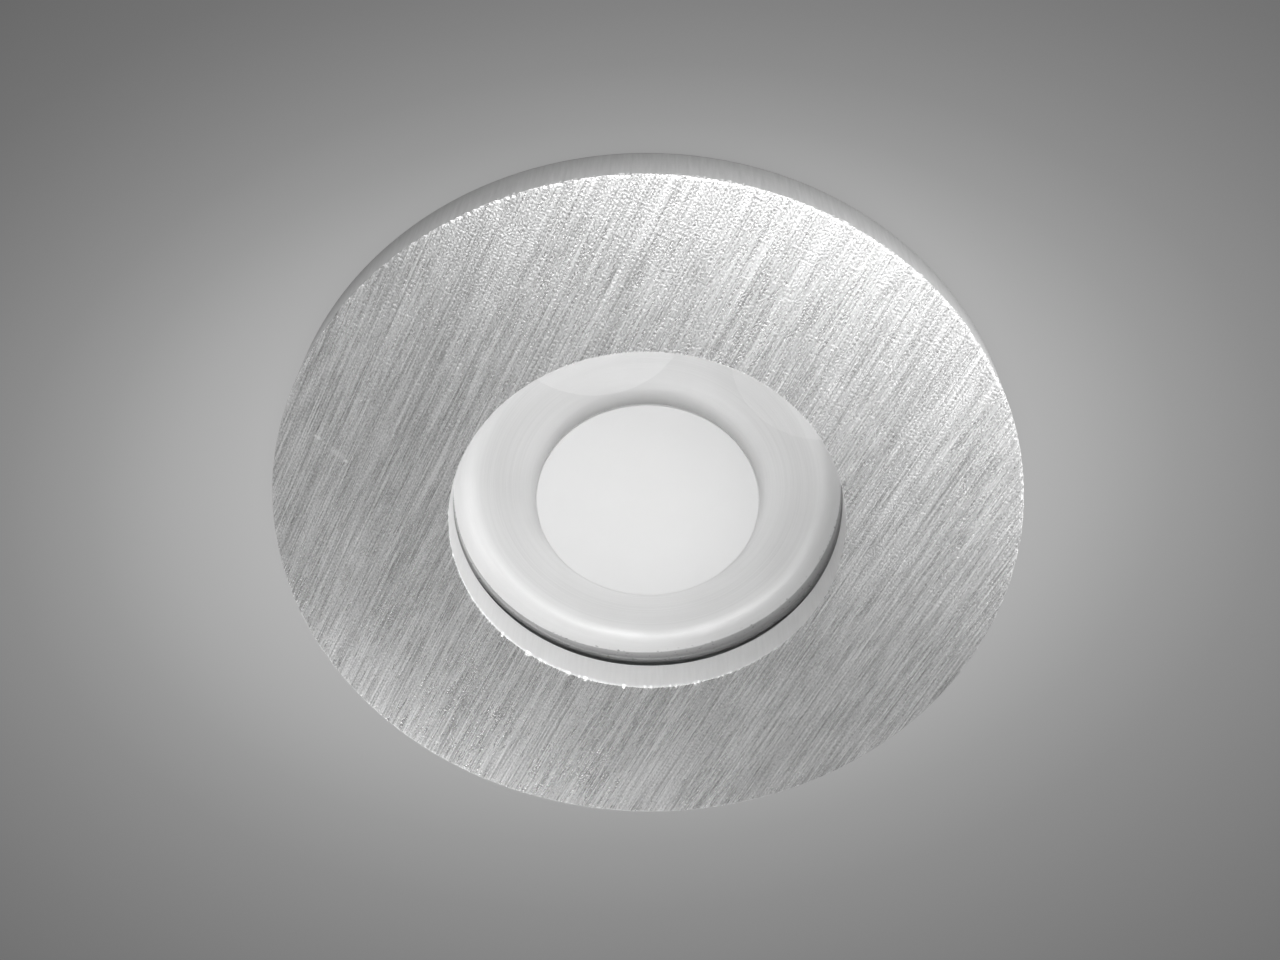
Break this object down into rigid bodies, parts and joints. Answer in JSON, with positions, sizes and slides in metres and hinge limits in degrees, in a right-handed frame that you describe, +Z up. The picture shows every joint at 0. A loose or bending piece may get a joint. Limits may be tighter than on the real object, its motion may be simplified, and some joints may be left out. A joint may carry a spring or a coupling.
{
  "type": "recessed spotlight",
  "caption": "Fixed recessed ceiling spotlight: thick brushed ring, clear glass with a frosted centre, bright dish, finned body and sprung ceiling clips.",
  "frame": {"origin": "middle of the ring's front face, which looks down into the room", "axes": "+Z up into the ceiling along the lamp's axis, +X along the two ceiling clips, +Y across them"},
  "size_m": [0.1068, 0.09, 0.0501],
  "materials": {
    "brushed_aluminium": "straight brushed",
    "spun_aluminium": "satin, turned",
    "cast_aluminium": "bead blasted casting",
    "clear_glass": "clear, polished",
    "frosted_white": "frosted opal",
    "black_rubber": "matt silicone",
    "grey_foam": "closed-cell foam",
    "white_board": "white solder mask on metal",
    "led_phosphor": "phosphor in silicone",
    "thermal_pad": "matt gap pad",
    "screw_steel": "plain steel",
    "zinc_steel": "zinc plated",
    "spring_steel": "drawn wire",
    "soft_plastic": "soft PVC",
    "black_nylon": "moulded nylon"
  },
  "bodies": {
    "lamp": {"bezel": "brushed_aluminium", "front_glass": "clear_glass", "diffuser_disc": "frosted_white", "glass_seal": "black_rubber", "ceiling_gasket": "grey_foam", "reflector_dish": "spun_aluminium", "led_emitter": "led_phosphor", "led_board": "white_board", "thermal_pad": "thermal_pad", "heat_sink": "cast_aluminium", "gland_body": "black_nylon", "gland_seal": "black_rubber", "gland_nut": "black_nylon", "board_screw_1": "screw_steel", "board_screw_2": "screw_steel", "housing_screw_1": "screw_steel", "housing_screw_2": "screw_steel", "housing_screw_3": "screw_steel", "bracket_screw_right_1": "screw_steel", "bracket_screw_right_2": "screw_steel", "clip_bracket_right": "zinc_steel", "clip_pin_right": "screw_steel", "clip_spring_right": "spring_steel", "bracket_screw_left_1": "screw_steel", "bracket_screw_left_2": "screw_steel", "clip_bracket_left": "zinc_steel", "clip_pin_left": "screw_steel", "clip_spring_left": "spring_steel"},
    "right_clip": {"clip_arm_right": "zinc_steel", "clip_pad_right": "soft_plastic"},
    "left_clip": {"clip_arm_left": "zinc_steel", "clip_pad_left": "soft_plastic"}
  },
  "joints": [
    {"name": "right_clip_hinge", "type": "hinge", "parent": "lamp", "child": "right_clip", "pos_m": [0.0336, 0, 0.013], "axis": [0, -1, 0], "range_deg": [0, 85], "stiffness_Nm_per_rad": 0.2, "springref_deg": -45.84, "deforming": ["clip_spring_right"]},
    {"name": "left_clip_hinge", "type": "hinge", "parent": "lamp", "child": "left_clip", "pos_m": [-0.0336, 0, 0.013], "axis": [0, 1, 0], "range_deg": [0, 85], "stiffness_Nm_per_rad": 0.2, "springref_deg": -45.84, "deforming": ["clip_spring_left"]}
  ]
}
